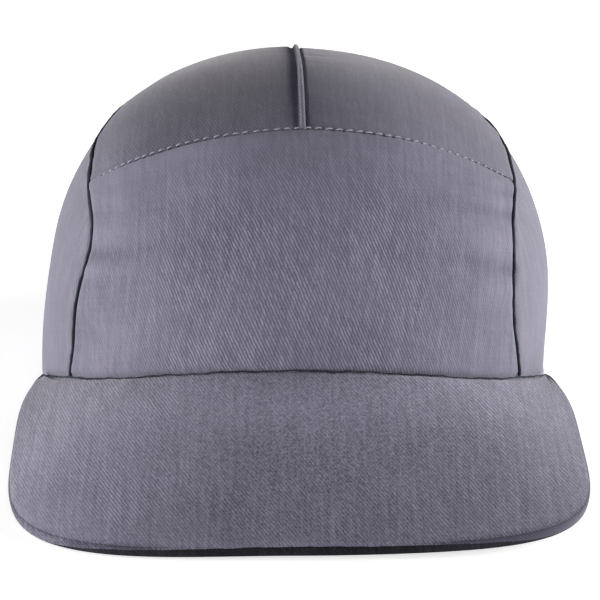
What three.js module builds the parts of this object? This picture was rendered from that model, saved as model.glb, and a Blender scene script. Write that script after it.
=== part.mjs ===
// Five panel cap. Millimetres, +Z up, the front faces -Y. It stands as it rests on a table:
// the rim lies level behind and the left corner of the brim touches the surface in front.
import * as THREE from 'three';
import { mergeVertices } from 'three/addons/utils/BufferGeometryUtils.js';

// Crown: half sizes from its centre in the plane of the rim, before it leans back.
const crown_half_width = 87.6;
const crown_front = 88.9;
const crown_back = 98;
const crown_height = 101.2;
const front_plan_power = 2;
const back_plan_power = 2.15;
const front_power = 2.47;
const side_power = 2.48;
const back_power = 2.62;
const lean_degrees = 7;

// Rim: its height over the brow, and the azimuth (0 in front, 180 behind) where it comes down level.
const brow_lift = 37;
const rim_level_azimuth = 130;
const rim_arch_power = 1.4;

// Unevenness of the sewn crown: above the rim its cloth stands a little to the right and is turned.
const settle_shift = 2.2;
const settle_turn_degrees = 0.8;
const settle_height = 45;

// Bends of the side seams: spots where the cloth is turned about the crown's middle. Each spot has
// an azimuth and a height as a share of crown_height, the turn and how far it reaches.
const seam_bends = [
  { azimuth: -55.7, height: 0.28, turn_degrees: -3.2, reach: 15 },
  { azimuth: 57, height: 0.25, turn_degrees: -1.5, reach: 17 },
];
const bend_start_height = 18;

// Soft hollow of the crown: its place as shares of crown_half_width and crown_back, its reach and its depth.
const hollow_across = 0.45;
const hollow_along = 0.08;
const hollow_reach = 34;
const hollow_depth = 2.2;

// Cloth and seams.
const wall = 1.8;
const seam_gap = 0.3;
const piping_diameter = 1.4;
const piping_sink = 0.4;
const piping_end_gap = 1.5;
const ridge_width = 1.8;
const ridge_height = 0.8;
const ridge_shoulder = 0.3;

// Brim: plan outline as two half superellipses, and heights of its lower edge above the surface.
const brim_half_width = 93.2;
const brim_reach = 75;
const brim_tail = 80;
const brim_setback = 15;
const brim_offset = 0.4;
const brim_left_power = 3.75;
const brim_right_power = 4.2;
const brim_rear_power = 3.2;
const brim_end_azimuth = 77;
const brim_end_angle = 119;
const brim_corner_angle = 55;
const brim_front_lift = 1.1;
const brim_right_lift = 3.5;
const brim_side_lift = 6;
const brim_bulge = 1.5;
const brim_board = 2.4;
const under_cloth = 1;
const edge_band_end_angle = 62;

// Opening and strap behind.
const arch_half_width = 36;
const arch_height = 46;
const strap_height = 22;
const strap_thickness = 1.5;
const strap_overlap = 9;
const strap_clearance = 0.7;

// Side seam from the brim to the back rim: azimuth in degrees, height as a share of crown_height.
// The first and last rows lie on the rim, whose height the rim gives.
const side_seam = [
  { azimuth: 58.5, height: 0 },
  { azimuth: 55.8, height: 0.2 },
  { azimuth: 55.6, height: 0.36 },
  { azimuth: 58.7, height: 0.5 },
  { azimuth: 69.8, height: 0.615 },
  { azimuth: 86, height: 0.71 },
  { azimuth: 101, height: 0.775 },
  { azimuth: 117, height: 0.775 },
  { azimuth: 131, height: 0.69 },
  { azimuth: 140, height: 0.5 },
  { azimuth: 144.5, height: 0.25 },
  { azimuth: 146, height: 0 },
];
const seam_join_row = 4;
const seam_back_row = 8;

// Seam between the front panel and the top panels, from the middle to the side seam.
const front_seam = [
  { azimuth: 0, height: 0.846 },
  { azimuth: 16, height: 0.834 },
  { azimuth: 33, height: 0.8 },
  { azimuth: 48.5, height: 0.737 },
  { azimuth: 61, height: 0.668 },
];

// Facets along each stretch of the panels.
const upright_steps = 8;
const over_steps = 14;
const half_front_steps = 10;
const brim_steps = 36;
const brim_rows = 5;
const strap_steps = 14;
const piping_sides = 8;

const lean = THREE.MathUtils.degToRad(lean_degrees);
const settle_turn = THREE.MathUtils.degToRad(settle_turn_degrees);
const piping_radius = piping_diameter / 2;
const piping_room = piping_radius + seam_gap;

// Point of the crown along a direction from its centre, at a depth below the outer face.
// Above the rim plane it is a superellipsoid, and below that plane the wall goes straight down.
function crownPoint(direction, depth = 0) {
  const is_front = direction.y < 0;
  const length = is_front ? crown_front : crown_back;
  const plan_power = is_front ? front_plan_power : back_plan_power;
  const across = Math.abs(direction.x) / (crown_half_width - depth);
  const along = Math.abs(direction.y) / (length - depth);
  const plan = (across ** plan_power + along ** plan_power) ** (1 / plan_power);
  if (direction.z <= 0) return direction.clone().multiplyScalar(1 / plan);
  const forward = -direction.y / Math.hypot(direction.x, direction.y, 1e-9);
  const end_power = forward > 0 ? front_power : back_power;
  const power = side_power + (end_power - side_power) * forward * forward;
  const rise = direction.z / (crown_height - depth);
  return direction.clone().multiplyScalar((plan ** power + rise ** power) ** (-1 / power));
}

// The crown leans back about the back of its rim, which stays at the height of the table.
function leaned(point) {
  const back = point.y - crown_back;
  const y = back * Math.cos(lean) + point.z * Math.sin(lean);
  return new THREE.Vector3(point.x, y, point.z * Math.cos(lean) - back * Math.sin(lean));
}

function unleaned(point) {
  const y = point.y * Math.cos(lean) - point.z * Math.sin(lean) + crown_back;
  return new THREE.Vector3(point.x, y, point.z * Math.cos(lean) + point.y * Math.sin(lean));
}

function wallPoint(azimuth, height, depth = 0) {
  const angle = THREE.MathUtils.degToRad(azimuth);
  const flat = crownPoint(new THREE.Vector3(Math.sin(angle), -Math.cos(angle), 0), depth);
  if (height <= 0) return flat.setZ(height);
  const forward = Math.cos(angle);
  const end_power = forward > 0 ? front_power : back_power;
  const power = side_power + (end_power - side_power) * forward * forward;
  const shrink = (1 - (height / (crown_height - depth)) ** power) ** (1 / power);
  return new THREE.Vector3(flat.x * shrink, flat.y * shrink, height);
}

function rimLift(azimuth) {
  const turn = Math.min(Math.abs(azimuth) / rim_level_azimuth, 1);
  return brow_lift * (0.5 + 0.5 * Math.cos(Math.PI * turn)) ** rim_arch_power;
}

// Point of the leaning crown at an azimuth and a height above the table.
function crownAt(azimuth, lift, depth = 0) {
  let height = 0;
  let point = leaned(wallPoint(azimuth, height, depth));
  for (let pass = 0; pass < 8; pass += 1) {
    height += (lift - point.z) / Math.cos(lean);
    point = leaned(wallPoint(azimuth, height, depth));
  }
  return point;
}

function rimPoint(azimuth, depth = 0) {
  return crownAt(azimuth, rimLift(azimuth), depth);
}

// Moves a point of the leaning crown back onto its face, or to a depth below it.
function ontoCrown(point, depth = 0) {
  return leaned(crownPoint(unleaned(point), depth));
}

function hollowAt(point) {
  const flat = unleaned(point);
  const across = flat.x - hollow_across * crown_half_width;
  const along = flat.y - hollow_along * crown_back;
  return hollow_depth * Math.exp(-(across * across + along * along) / (hollow_reach * hollow_reach));
}

const bend_spots = seam_bends.map((bend) => leaned(wallPoint(bend.azimuth, bend.height * crown_height)));

// Turn of the cloth at a point, from the seam bends near it.
function bendTurn(point) {
  const degrees = seam_bends.reduce((sum, bend, index) => {
    const distance = point.distanceTo(bend_spots[index]);
    return sum + bend.turn_degrees * Math.exp(-(distance * distance) / (bend.reach * bend.reach));
  }, 0);
  return THREE.MathUtils.degToRad(degrees);
}

// Turns a point of the even crown about the crown's middle and moves it to the right, more so above the rim.
function settled(point) {
  const flat = unleaned(point);
  const azimuth = THREE.MathUtils.radToDeg(Math.atan2(flat.x, -flat.y));
  const above_rim = point.z - rimLift(azimuth);
  const share = THREE.MathUtils.smoothstep(above_rim, 0, settle_height);
  const bend_share = THREE.MathUtils.smoothstep(above_rim, 0, bend_start_height);
  const turn = settle_turn * share + bendTurn(point) * bend_share;
  const x = flat.x * Math.cos(turn) - flat.y * Math.sin(turn) + settle_shift * share;
  const y = flat.y * Math.cos(turn) + flat.x * Math.sin(turn);
  return leaned(new THREE.Vector3(x, y, flat.z));
}

// Point of the uneven cloth at a depth below its outer face.
function clothPoint(point, depth) {
  return settled(ontoCrown(point, depth + hollowAt(point)));
}

function seamPoint(row, is_end) {
  if (is_end) return rimPoint(row.azimuth);
  return leaned(wallPoint(row.azimuth, row.height * crown_height));
}

const side_curve = new THREE.CatmullRomCurve3(
  side_seam.map((row, index) => seamPoint(row, index === 0 || index === side_seam.length - 1)),
);
const join_point = seamPoint(side_seam[seam_join_row], false);
const front_rows = front_seam.map((row) => seamPoint(row, false));
const front_curve = new THREE.CatmullRomCurve3(
  [front_rows[1].clone().setX(-front_rows[1].x), ...front_rows, join_point],
);

// Points of the side seam between two of its rows, evenly spread over the steps.
function sideStretch(from_row, to_row, steps) {
  const last = side_seam.length - 1;
  return Array.from({ length: steps + 1 }, (_, index) => {
    const row = from_row + (to_row - from_row) * index / steps;
    return ontoCrown(side_curve.getPoint(row / last));
  });
}

function frontStretch(steps) {
  const last = front_rows.length + 1;
  return Array.from({ length: steps + 1 }, (_, index) => {
    const row = 1 + (last - 1) * index / steps;
    return ontoCrown(front_curve.getPoint(row / last));
  });
}

const mirrored = (point) => new THREE.Vector3(-point.x, point.y, point.z);
const seam_front = sideStretch(0, seam_join_row, upright_steps);
const seam_over = sideStretch(seam_join_row, seam_back_row, over_steps);
const seam_back = sideStretch(seam_back_row, side_seam.length - 1, upright_steps);
const seam_arch = frontStretch(half_front_steps);

// Grid of points that fills four border lines, laid on the crown. Rows run up, columns run to the right.
function patch(bottom, top, left, right) {
  const rows = left.length - 1;
  const columns = bottom.length - 1;
  const blend = (a, b, share) => a.clone().lerp(b, share);
  return left.map((_, row) => bottom.map((__, column) => {
    const v = row / rows;
    const u = column / columns;
    const upright = blend(bottom[column], top[column], v);
    const level = blend(left[row], right[row], u);
    const low = blend(bottom[0], bottom[columns], u);
    const high = blend(top[0], top[columns], u);
    return ontoCrown(upright.add(level).sub(blend(low, high, v)));
  }));
}

// Pulls the borders of a grid inwards along its lines, to a distance for each side. A top corner whose
// two sides have the same distance lies on one smooth seam, so it moves square to that seam.
function inset(grid, amounts) {
  const rows = grid.length - 1;
  const columns = grid[0].length - 1;
  const pull = (point, inner, before, after, amount) => {
    const tangent = after.clone().sub(before).normalize();
    const inwards = inner.clone().sub(point).normalize();
    const slant = inwards.clone().cross(tangent).length();
    return inwards.multiplyScalar(amount / slant);
  };
  return grid.map((line, row) => line.map((point, column) => {
    const moved = point.clone();
    const below = grid[Math.max(row - 1, 0)][column];
    const above = grid[Math.min(row + 1, rows)][column];
    const before = line[Math.max(column - 1, 0)];
    const after = line[Math.min(column + 1, columns)];
    const side_amount = column === 0 ? amounts.left : amounts.right;
    if (row === rows && column % columns === 0 && side_amount === amounts.top) {
      const inner = grid[row - 1][column === 0 ? 1 : columns - 1];
      return moved.add(pull(point, inner, before, after, amounts.top));
    }
    if (row === 0 && amounts.bottom) moved.add(pull(point, above, before, after, amounts.bottom));
    if (row === rows && amounts.top) moved.add(pull(point, below, before, after, amounts.top));
    if (column === 0 && amounts.left) moved.add(pull(point, after, below, above, amounts.left));
    if (column === columns && amounts.right) moved.add(pull(point, before, below, above, amounts.right));
    return moved;
  }));
}

// Collects four-cornered faces as triangles, and leaves out those that have no area.
function faceList() {
  const places = [];
  const triangle = (a, b, c) => {
    if (a.distanceTo(b) < 1e-4 || b.distanceTo(c) < 1e-4 || c.distanceTo(a) < 1e-4) return;
    for (const corner of [a, b, c]) places.push(corner.x, corner.y, corner.z);
  };
  const quad = (a, b, c, d) => {
    triangle(a, b, c);
    triangle(a, c, d);
  };
  const finish = () => {
    const geometry = new THREE.BufferGeometry();
    geometry.setAttribute('position', new THREE.Float32BufferAttribute(places, 3));
    return mergeVertices(geometry, 1e-4);
  };
  return { quad, finish };
}

// Closed body between an outer and an inner grid.
function closedSkin(outer, inner) {
  const rows = outer.length - 1;
  const columns = outer[0].length - 1;
  const { quad, finish } = faceList();
  for (let row = 0; row < rows; row += 1) {
    for (let column = 0; column < columns; column += 1) {
      const [low, high] = [outer[row], outer[row + 1]];
      const [low_in, high_in] = [inner[row], inner[row + 1]];
      quad(low[column], low[column + 1], high[column + 1], high[column]);
      quad(low_in[column], high_in[column], high_in[column + 1], low_in[column + 1]);
    }
  }
  for (let column = 0; column < columns; column += 1) {
    quad(outer[0][column], inner[0][column], inner[0][column + 1], outer[0][column + 1]);
    quad(outer[rows][column], outer[rows][column + 1], inner[rows][column + 1], inner[rows][column]);
  }
  for (let row = 0; row < rows; row += 1) {
    quad(outer[row][0], outer[row + 1][0], inner[row + 1][0], inner[row][0]);
    quad(outer[row][columns], inner[row][columns], inner[row + 1][columns], outer[row + 1][columns]);
  }
  return finish();
}

// Cloth wall of a panel. Where a border lies on the rim, its lower face is level.
function panelBody(grid, rim_points, proud = () => 0) {
  const outer = grid.map((line) => line.map((point, column) => clothPoint(point, -proud(column))));
  const inner = grid.map((line) => line.map((point) => clothPoint(point, wall)));
  for (const [row, column] of rim_points) {
    outer[row][column] = grid[row][column];
    inner[row][column].z = outer[row][column].z;
  }
  return closedSkin(outer, inner);
}

const mirroredGrid = (grid) => grid.map((line) => line.map(mirrored).reverse());

function frontPanel() {
  const base = side_seam[0].azimuth;
  const steps = 2 * half_front_steps;
  const bottom = Array.from({ length: steps + 1 }, (_, index) => rimPoint(base * (2 * index / steps - 1)));
  const top = [...seam_arch.slice(1).map(mirrored).reverse(), ...seam_arch];
  const grid = patch(bottom, top, seam_front.map(mirrored), seam_front);
  const amounts = { bottom: 0, top: seam_gap / 2, left: piping_room, right: piping_room };
  const rim = bottom.map((_, column) => [0, column]);
  return panelBody(inset(grid, amounts), rim);
}

function sidePanelGrid() {
  const [front, back] = [side_seam[0].azimuth, side_seam[side_seam.length - 1].azimuth];
  const bottom = seam_over.map((_, index) => rimPoint(front + (back - front) * index / over_steps));
  const grid = patch(bottom, seam_over, seam_front, seam_back.slice().reverse());
  return inset(grid, { bottom: 0, top: piping_room, left: piping_room, right: piping_room });
}

function sidePanel(side) {
  const grid = sidePanelGrid();
  return panelBody(side > 0 ? grid : mirroredGrid(grid), grid[0].map((_, column) => [0, column]));
}

// Azimuth of the rim behind at a distance across from the middle.
function backAzimuth(across) {
  let azimuth = 180;
  for (let pass = 0; pass < 12; pass += 1) {
    const point = rimPoint(azimuth);
    azimuth -= THREE.MathUtils.radToDeg((across - point.x) / crown_back);
  }
  return azimuth;
}

// Rear border of a top panel: over the arch, then along the rim to the side seam.
function rearBorder(shares) {
  const arch_foot = backAzimuth(arch_half_width);
  const seam_foot = side_seam[side_seam.length - 1].azimuth;
  const arch_share = shares[shares.length - 2];
  return shares.map((share) => {
    if (share > arch_share) return rimPoint(seam_foot);
    const angle = 0.5 * Math.PI * share / arch_share;
    const azimuth = backAzimuth(arch_half_width * Math.sin(angle));
    if (share === arch_share) return rimPoint(arch_foot);
    return crownAt(azimuth, arch_height * Math.cos(angle));
  });
}

// Right top panel from the middle to the side seam, from the front seam to the arch.
function topPanelGrid() {
  const bottom = seam_arch;
  const shares = bottom.map((_, index) => index / half_front_steps);
  const rear = rearBorder(shares);
  const rows = over_steps + upright_steps;
  const outer_side = [...seam_over, ...seam_back.slice(1)];
  const [first, last] = [bottom[0], rear[0]];
  const middle = Array.from({ length: rows + 1 }, (_, index) => {
    const share = index / rows;
    const chord = first.clone().lerp(last, share);
    return ontoCrown(chord.setZ(chord.z + crown_height * Math.sin(Math.PI * share)));
  });
  return patch(bottom, rear, middle, outer_side);
}

function topPanel(side) {
  const border = { bottom: seam_gap / 2, top: 0, left: seam_gap / 2, right: piping_room };
  const grid = inset(topPanelGrid(), border);
  const last = grid.length - 1;
  const columns = grid[0].length - 1;
  const rim = [[last, columns - 1], [last, columns]];
  if (side > 0) return panelBody(grid, rim);
  const folded = grid.map((line) => {
    const [edge, next] = line;
    const width = edge.distanceTo(next);
    const top_of_fold = edge.clone().lerp(next, ridge_width / width);
    const foot_of_fold = edge.clone().lerp(next, (ridge_width + ridge_shoulder) / width);
    return [edge, top_of_fold, foot_of_fold, ...line.slice(1)];
  });
  const left_rim = rim.map(([row, column]) => [row, columns - column]);
  const all_columns = columns + 2;
  const proud = (column) => (column >= all_columns - 1 ? ridge_height : 0);
  return panelBody(mirroredGrid(folded), left_rim, proud);
}

// Round cord through the points of a seam on the even crown, square to the seam and to the crown.
function cordBody(points, radius) {
  const last = points.length - 1;
  const rings = points.map((point, index) => {
    const ahead = points[Math.min(index + 1, last)].clone().sub(points[Math.max(index - 1, 0)]).normalize();
    const deeper = ontoCrown(point, 2 * wall);
    const level = ahead.clone().cross(point.clone().sub(deeper)).normalize();
    const outward = level.clone().cross(ahead);
    return Array.from({ length: piping_sides + 1 }, (_, corner) => {
      const angle = 2 * Math.PI * (corner % piping_sides) / piping_sides;
      const spot = point.clone().addScaledVector(level, radius * Math.cos(angle));
      return settled(spot.addScaledVector(outward, radius * Math.sin(angle)));
    });
  });
  const { quad, finish } = faceList();
  const closed_end = (point) => Array(piping_sides + 1).fill(settled(point));
  const sections = [closed_end(points[0]), ...rings, closed_end(points[last])];
  for (let row = 0; row < sections.length - 1; row += 1) {
    for (let corner = 0; corner < piping_sides; corner += 1) {
      const [near, far] = [sections[row], sections[row + 1]];
      quad(near[corner], far[corner], far[corner + 1], near[corner + 1]);
    }
  }
  return finish();
}

function piping(side) {
  const points = [...seam_front, ...seam_over.slice(1), ...seam_back.slice(1)]
    .map((point) => (side > 0 ? point : mirrored(point)))
    .map((point) => ontoCrown(point, piping_sink + hollowAt(point)));
  points[0].lerp(points[1], piping_end_gap / points[0].distanceTo(points[1]));
  const last = points.length - 1;
  points[last].lerp(points[last - 1], piping_end_gap / points[last].distanceTo(points[last - 1]));
  return cordBody(points, piping_radius);
}

// Plan outline of the brim, about a point a little behind the brow.
const brim_centre = brim_setback - (crown_front + crown_back) * Math.cos(lean);

function brimOutline(angle) {
  const turn = THREE.MathUtils.degToRad(angle);
  const length = Math.cos(turn) > 0 ? brim_reach : brim_tail;
  const corner_power = Math.sin(turn) > 0 ? brim_right_power : brim_left_power;
  const power = Math.cos(turn) > 0 ? corner_power : brim_rear_power;
  const across = Math.abs(Math.sin(turn)) / brim_half_width;
  const along = Math.abs(Math.cos(turn)) / length;
  const radius = (across ** power + along ** power) ** (-1 / power);
  return new THREE.Vector3(radius * Math.sin(turn) + brim_offset, brim_centre - radius * Math.cos(turn), 0);
}

// Height of the brim's lower edge: lowest at the left corner, higher in front, at the ends and on the right.
function edgeLift(angle) {
  const turn = Math.abs(angle);
  const right_lift = brim_right_lift * Math.sin(Math.PI * Math.max(angle, 0) / brim_end_angle) ** 2;
  if (turn < brim_corner_angle) {
    return right_lift + brim_front_lift * Math.cos(0.5 * Math.PI * turn / brim_corner_angle) ** 2;
  }
  const share = (turn - brim_corner_angle) / (brim_end_angle - brim_corner_angle);
  return right_lift + brim_side_lift * Math.sin(0.5 * Math.PI * share) ** 2;
}

// Grid from the seam to the outer edge of the brim's top face. The first row lies under the crown's wall.
function brimTop(edge_rise) {
  const grid = [];
  for (let row = 0; row <= brim_rows + 1; row += 1) {
    const line = [];
    for (let column = 0; column <= brim_steps; column += 1) {
      const share = 2 * column / brim_steps - 1;
      const seam = rimPoint(share * brim_end_azimuth, row === 0 ? wall : 0);
      seam.z = rimLift(share * brim_end_azimuth) - seam_gap;
      const edge = brimOutline(share * brim_end_angle);
      edge.z = edgeLift(share * brim_end_angle) + edge_rise;
      const out = Math.max(row - 1, 0) / brim_rows;
      const point = seam.lerp(edge, out);
      point.z += brim_bulge * Math.sin(Math.PI * out) * Math.cos(0.5 * Math.PI * share);
      line.push(point);
    }
    grid.push(line);
  }
  return grid;
}

// The same grid, moved down square to its face.
function lowered(grid, distance) {
  const rows = grid.length - 1;
  const columns = grid[0].length - 1;
  return grid.map((line, row) => line.map((point, column) => {
    const along = line[Math.min(column + 1, columns)].clone().sub(line[Math.max(column - 1, 0)]);
    const out = grid[Math.min(row + 1, rows)][column].clone().sub(grid[Math.max(row - 1, 0)][column]);
    const down = along.cross(out).normalize();
    if (down.z > 0) down.negate();
    return point.clone().addScaledVector(down, distance);
  }));
}

function lowestOf(grid) {
  return Math.min(...grid.flat().map((point) => point.z));
}

const brim_thickness = brim_board + seam_gap + under_cloth;
let edge_rise = brim_thickness;
for (let pass = 0; pass < 6; pass += 1) {
  edge_rise -= lowestOf(lowered(brimTop(edge_rise), brim_thickness));
}
const brim_top = brimTop(edge_rise);

// The board stops short of the outline, where the dark cloth comes up round its edge.
function shortened(grid, amount) {
  const last = grid.length - 1;
  const line = grid[last].map((point, column) => {
    const inner = grid[last - 1][column];
    return point.clone().lerp(inner, Math.min(amount / point.distanceTo(inner), 0.5));
  });
  return [...grid.slice(0, last), line];
}

function brimBody() {
  const top = shortened(brim_top, under_cloth + seam_gap);
  const bottom = lowered(top, brim_board);
  return closedSkin(top.slice().reverse(), bottom.slice().reverse());
}

// Dark cloth under the board. In front its edge turns up over the board's edge, less and less to the corners.
function undersideBody() {
  const top = lowered(brim_top, brim_board + seam_gap);
  const bottom = lowered(brim_top, brim_thickness);
  const inner_top = shortened(top, under_cloth);
  const last = top.length - 1;
  const lip = (column, depth_line) => {
    const angle = Math.abs(2 * column / brim_steps - 1) * brim_end_angle;
    const share = Math.max(0, Math.cos(0.5 * Math.PI * Math.min(angle / edge_band_end_angle, 1)));
    const low = depth_line[column];
    return low.clone().add(brim_top[last][column].clone().sub(top[last][column]).multiplyScalar(share));
  };
  const lip_outer = top[last].map((_, column) => lip(column, top[last]));
  const lip_inner = inner_top[last].map((_, column) => lip(column, inner_top[last]));
  const upper = [...inner_top, lip_inner];
  const lower = [...bottom, lip_outer];
  return closedSkin(upper.slice().reverse(), lower.slice().reverse());
}

function strapBody() {
  const half = arch_half_width + strap_overlap;
  const face = (depth) => [0, strap_height].map((lift) => (
    Array.from({ length: strap_steps + 1 }, (_, index) => {
      const across = half * (1 - 2 * index / strap_steps);
      const azimuth = 360 - backAzimuth(Math.abs(across));
      const point = crownAt(azimuth, lift, depth);
      return settled(across < 0 ? point : mirrored(point));
    })
  ));
  return closedSkin(face(wall + strap_clearance), face(wall + strap_clearance + strap_thickness));
}

function clothMesh(name, geometry, color) {
  const material = new THREE.MeshStandardMaterial({ color, roughness: 0.9, metalness: 0 });
  const mesh = new THREE.Mesh(geometry, material);
  mesh.name = name;
  return mesh;
}

const grey_cloth = 0x78768a;
const dark_cloth = 0x28272c;
const cap = new THREE.Group();
cap.add(
  clothMesh('front_panel', frontPanel(), grey_cloth),
  clothMesh('top_panel_left', topPanel(-1), grey_cloth),
  clothMesh('top_panel_right', topPanel(1), grey_cloth),
  clothMesh('side_panel_left', sidePanel(-1), grey_cloth),
  clothMesh('side_panel_right', sidePanel(1), grey_cloth),
  clothMesh('side_piping_left', piping(-1), dark_cloth),
  clothMesh('side_piping_right', piping(1), dark_cloth),
  clothMesh('brim', brimBody(), grey_cloth),
  clothMesh('brim_underside', undersideBody(), dark_cloth),
  clothMesh('back_strap', strapBody(), grey_cloth),
);

// The origin is the middle of the box on the surface that the cap rests on.
const box = new THREE.Box3().setFromObject(cap);
cap.position.y = -(box.min.y + box.max.y) / 2;

export default cap;
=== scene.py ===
# Five panel cap: cloth, seams, stitches, light and camera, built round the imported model. Metres, +Z up.
import math

import bpy
import numpy as np
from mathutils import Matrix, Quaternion, Vector


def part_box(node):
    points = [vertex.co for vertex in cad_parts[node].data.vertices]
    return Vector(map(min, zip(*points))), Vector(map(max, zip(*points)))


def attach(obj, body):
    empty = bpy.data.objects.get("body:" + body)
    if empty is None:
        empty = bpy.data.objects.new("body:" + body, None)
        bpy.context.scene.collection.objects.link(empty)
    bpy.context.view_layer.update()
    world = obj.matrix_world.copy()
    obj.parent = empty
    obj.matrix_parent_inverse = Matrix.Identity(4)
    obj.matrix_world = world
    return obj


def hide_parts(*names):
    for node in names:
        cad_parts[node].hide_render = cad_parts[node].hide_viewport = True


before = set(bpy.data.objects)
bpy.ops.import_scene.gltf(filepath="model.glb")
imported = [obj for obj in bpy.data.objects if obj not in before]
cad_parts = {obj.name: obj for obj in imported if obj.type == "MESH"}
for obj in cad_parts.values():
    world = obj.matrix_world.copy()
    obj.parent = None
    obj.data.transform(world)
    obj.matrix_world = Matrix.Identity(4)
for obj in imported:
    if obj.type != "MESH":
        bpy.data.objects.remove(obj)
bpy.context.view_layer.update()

MM = 0.001

# The coordinates that a weave follows count tenths of a metre.
CLOTH_SCALE = 10

# Crown: half sizes from its centre in the plane of the rim, before it leans back.
CROWN_HALF_WIDTH = 87.6 * MM
CROWN_FRONT = 88.9 * MM
CROWN_BACK = 98 * MM
CROWN_HEIGHT = 101.2 * MM
FRONT_PLAN_POWER = 2.0
BACK_PLAN_POWER = 2.15
FRONT_POWER = 2.47
SIDE_POWER = 2.48
BACK_POWER = 2.62
LEAN = math.radians(7)
BROW_LIFT = 37 * MM
RIM_LEVEL_AZIMUTH = 130
RIM_ARCH_POWER = 1.4
WALL = 1.8 * MM

# Rounds of the searches for a height, an azimuth and the brim's rise.
HEIGHT_ROUNDS = 8
AZIMUTH_ROUNDS = 14
RISE_ROUNDS = 6

# Unevenness of the sewn crown: above the rim its cloth stands a little to the right and is turned.
SETTLE_SHIFT = 2.2 * MM
SETTLE_TURN = math.radians(0.8)
SETTLE_HEIGHT = 45 * MM

# Bends of the side seams: azimuth and height share of each spot, turn of the cloth there and its reach.
SEAM_BENDS = [(-55.7, 0.28, -3.2, 15 * MM), (57, 0.25, -1.5, 17 * MM)]
BEND_START_HEIGHT = 18 * MM

# Soft hollow: its place from the crown's middle, its reach and its depth.
HOLLOW_PLACE = np.array([0.45 * CROWN_HALF_WIDTH, 0.08 * CROWN_BACK])
HOLLOW_REACH = 34 * MM
HOLLOW_DEPTH = 2.2 * MM

# Brim: plan outline as two half superellipses, and heights of its lower edge above the table.
BRIM_HALF_WIDTH = 93.2 * MM
BRIM_REACH = 75 * MM
BRIM_TAIL = 80 * MM
BRIM_SETBACK = 15 * MM
BRIM_LEFT_POWER = 3.75
BRIM_RIGHT_POWER = 4.2
BRIM_REAR_POWER = 3.2
BRIM_OFFSET = 0.4 * MM
BRIM_RIGHT_RISE = 3.5 * MM
BRIM_END_AZIMUTH = 77
BRIM_END_ANGLE = 119
BRIM_CORNER_ANGLE = 55
BRIM_FRONT_LIFT = 1.1 * MM
BRIM_SIDE_LIFT = 6 * MM
BRIM_BULGE = 1.5 * MM
BRIM_THICKNESS = 3.7 * MM
BRIM_CENTRE = BRIM_SETBACK - (CROWN_FRONT + CROWN_BACK) * math.cos(LEAN)
SEAM_GAP = 0.3 * MM

# Opening and strap behind.
ARCH_HALF_WIDTH = 36 * MM
ARCH_HEIGHT = 46 * MM
STRAP_HEIGHT = 22 * MM
STRAP_OVERLAP = 9 * MM
STRAP_DEPTH = 2.5 * MM
STRAP_THICKNESS = 1.5 * MM

# Side seam from the brim to the back rim: azimuth in degrees, height as a share of CROWN_HEIGHT.
SIDE_SEAM = [
    (58.5, 0), (55.8, 0.2), (55.6, 0.36), (58.7, 0.5), (69.8, 0.615), (86, 0.71), (101, 0.775),
    (117, 0.775), (131, 0.69), (140, 0.5), (144.5, 0.25), (146, 0),
]
SEAM_JOIN_ROW = 4
SEAM_BACK_ROW = 8
SEAM_END_ROW = len(SIDE_SEAM) - 1
OVER_SHARE = 14 / 22
ARCH_SHARE = 0.9

# Step inwards of the side seams: its azimuth and height share, its size and its reach.
JOG_AZIMUTH = 76
JOG_HEIGHT = 0.655
JOG = 1.6 * MM
JOG_REACH = 7 * MM

# Seam between the front panel and the top panels, from the middle to the side seam.
FRONT_SEAM = [(0, 0.846), (16, 0.834), (33, 0.8), (48.5, 0.737), (61, 0.668)]

# The model's place: the brim's front edge is the lowest y of the dark cloth under it.
PLACE = np.array([0.0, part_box("brim_underside")[0][1] + BRIM_REACH - BRIM_CENTRE, 0.0])


def smooth_step(share):
    share = np.clip(share, 0, 1)
    return share**2 * (3 - 2 * share)


def bell(distance, reach):
    """Round bump that is 1 at distance 0 and fades out over its reach."""
    return np.exp(-((distance / reach) ** 2))


def nearness(offset, reach):
    """The same bump round a point, from the offsets to it."""
    return np.exp(-(offset**2).sum(-1) / reach**2)


def wavy(distance, wavelength, phase=0.0):
    return np.sin(2 * np.pi * distance / wavelength + phase)


def unit(vectors):
    return vectors / (np.linalg.norm(vectors, axis=-1, keepdims=True) + 1e-12)


def section_power(forward):
    """Power of the crown's upright section. forward is 1 in front, 0 at the sides and -1 behind."""
    end_power = np.where(forward > 0, FRONT_POWER, BACK_POWER)
    return SIDE_POWER + (end_power - SIDE_POWER) * forward**2


def crown_point(direction, depth=0.0):
    """Point of the crown along a direction from its centre, at a depth below the outer face."""
    d = np.asarray(direction, float)
    depth = np.broadcast_to(depth, d.shape[:-1])
    is_front = d[..., 1] < 0
    length = np.where(is_front, CROWN_FRONT, CROWN_BACK) - depth
    plan_power = np.where(is_front, FRONT_PLAN_POWER, BACK_PLAN_POWER)
    across = np.abs(d[..., 0]) / (CROWN_HALF_WIDTH - depth)
    along = np.abs(d[..., 1]) / length
    plan = (across**plan_power + along**plan_power) ** (1 / plan_power)
    power = section_power(-d[..., 1] / np.maximum(np.hypot(d[..., 0], d[..., 1]), 1e-9))
    rise = np.maximum(d[..., 2], 0) / (CROWN_HEIGHT - depth)
    scale = (plan**power + rise**power) ** (-1 / power)
    return d * scale[..., None]


def leaned(p):
    """The crown leans back about the back of its rim."""
    back = p[..., 1] - CROWN_BACK
    y = back * math.cos(LEAN) + p[..., 2] * math.sin(LEAN)
    z = p[..., 2] * math.cos(LEAN) - back * math.sin(LEAN)
    return np.stack([p[..., 0], y, z], -1)


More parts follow.
